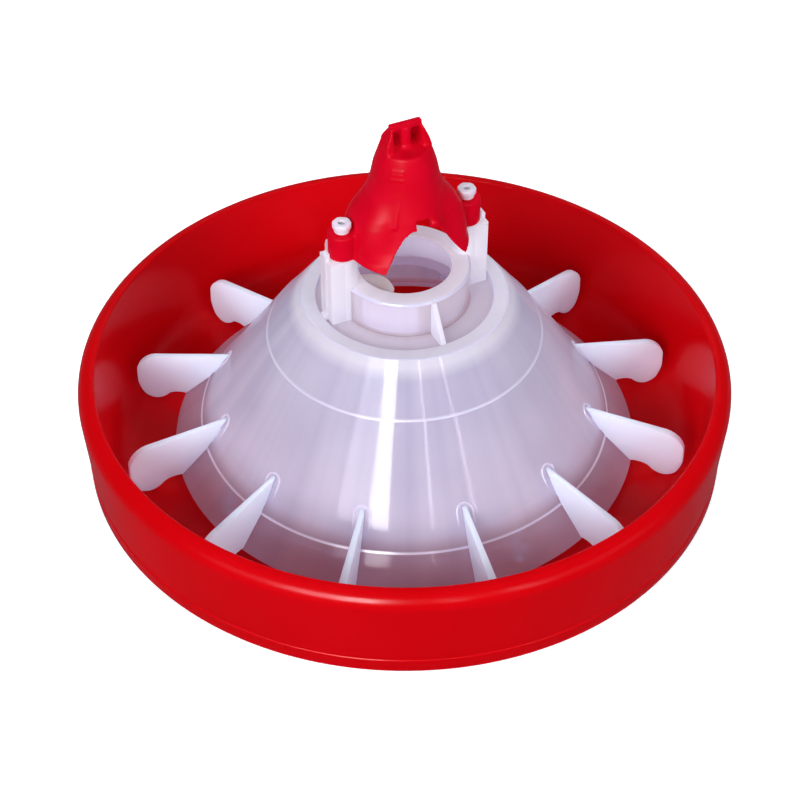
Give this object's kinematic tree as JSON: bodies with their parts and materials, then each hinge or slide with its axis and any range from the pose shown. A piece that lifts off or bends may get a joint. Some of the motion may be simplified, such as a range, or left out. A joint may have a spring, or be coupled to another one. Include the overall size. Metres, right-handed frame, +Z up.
{
  "type": "poultry pan feeder",
  "caption": "Round poultry feeding pan with a stepped translucent feed cone, radial fins round the trough and a red saddle that straddles a feed auger tube.",
  "frame": {"origin": "on the feeder's vertical axis, in the plane that the pan's foot ring stands on", "axes": "+Z up along the feeder's axis, X through both posts and bolts, Y along the auger tube that runs under the saddle"},
  "size_m": [0.5, 0.5, 0.3085],
  "materials": {
    "pan_red_pp": "glossy injection-moulded polypropylene, deep red",
    "natural_pp": "translucent natural polypropylene, semi-gloss",
    "guide_white_pp": "off-white polypropylene",
    "fin_white_pp": "milky white polypropylene, satin",
    "saddle_red_pp": "semi-gloss polypropylene, bright red",
    "zinc_plated_steel": "zinc plated",
    "nut_white_pa": "white polyamide"
  },
  "bodies": {
    "root": {"pan": "pan_red_pp", "cone": "natural_pp", "feed_guide": "guide_white_pp", "fin_01": "fin_white_pp", "fin_02": "fin_white_pp", "fin_03": "fin_white_pp", "fin_04": "fin_white_pp", "fin_05": "fin_white_pp", "fin_06": "fin_white_pp", "fin_07": "fin_white_pp", "fin_08": "fin_white_pp", "fin_09": "fin_white_pp", "fin_10": "fin_white_pp", "fin_11": "fin_white_pp", "fin_12": "fin_white_pp", "saddle": "saddle_red_pp", "bolt_1": "zinc_plated_steel", "bolt_2": "zinc_plated_steel", "nut_1": "nut_white_pa", "nut_2": "nut_white_pa"}
  },
  "joints": []
}
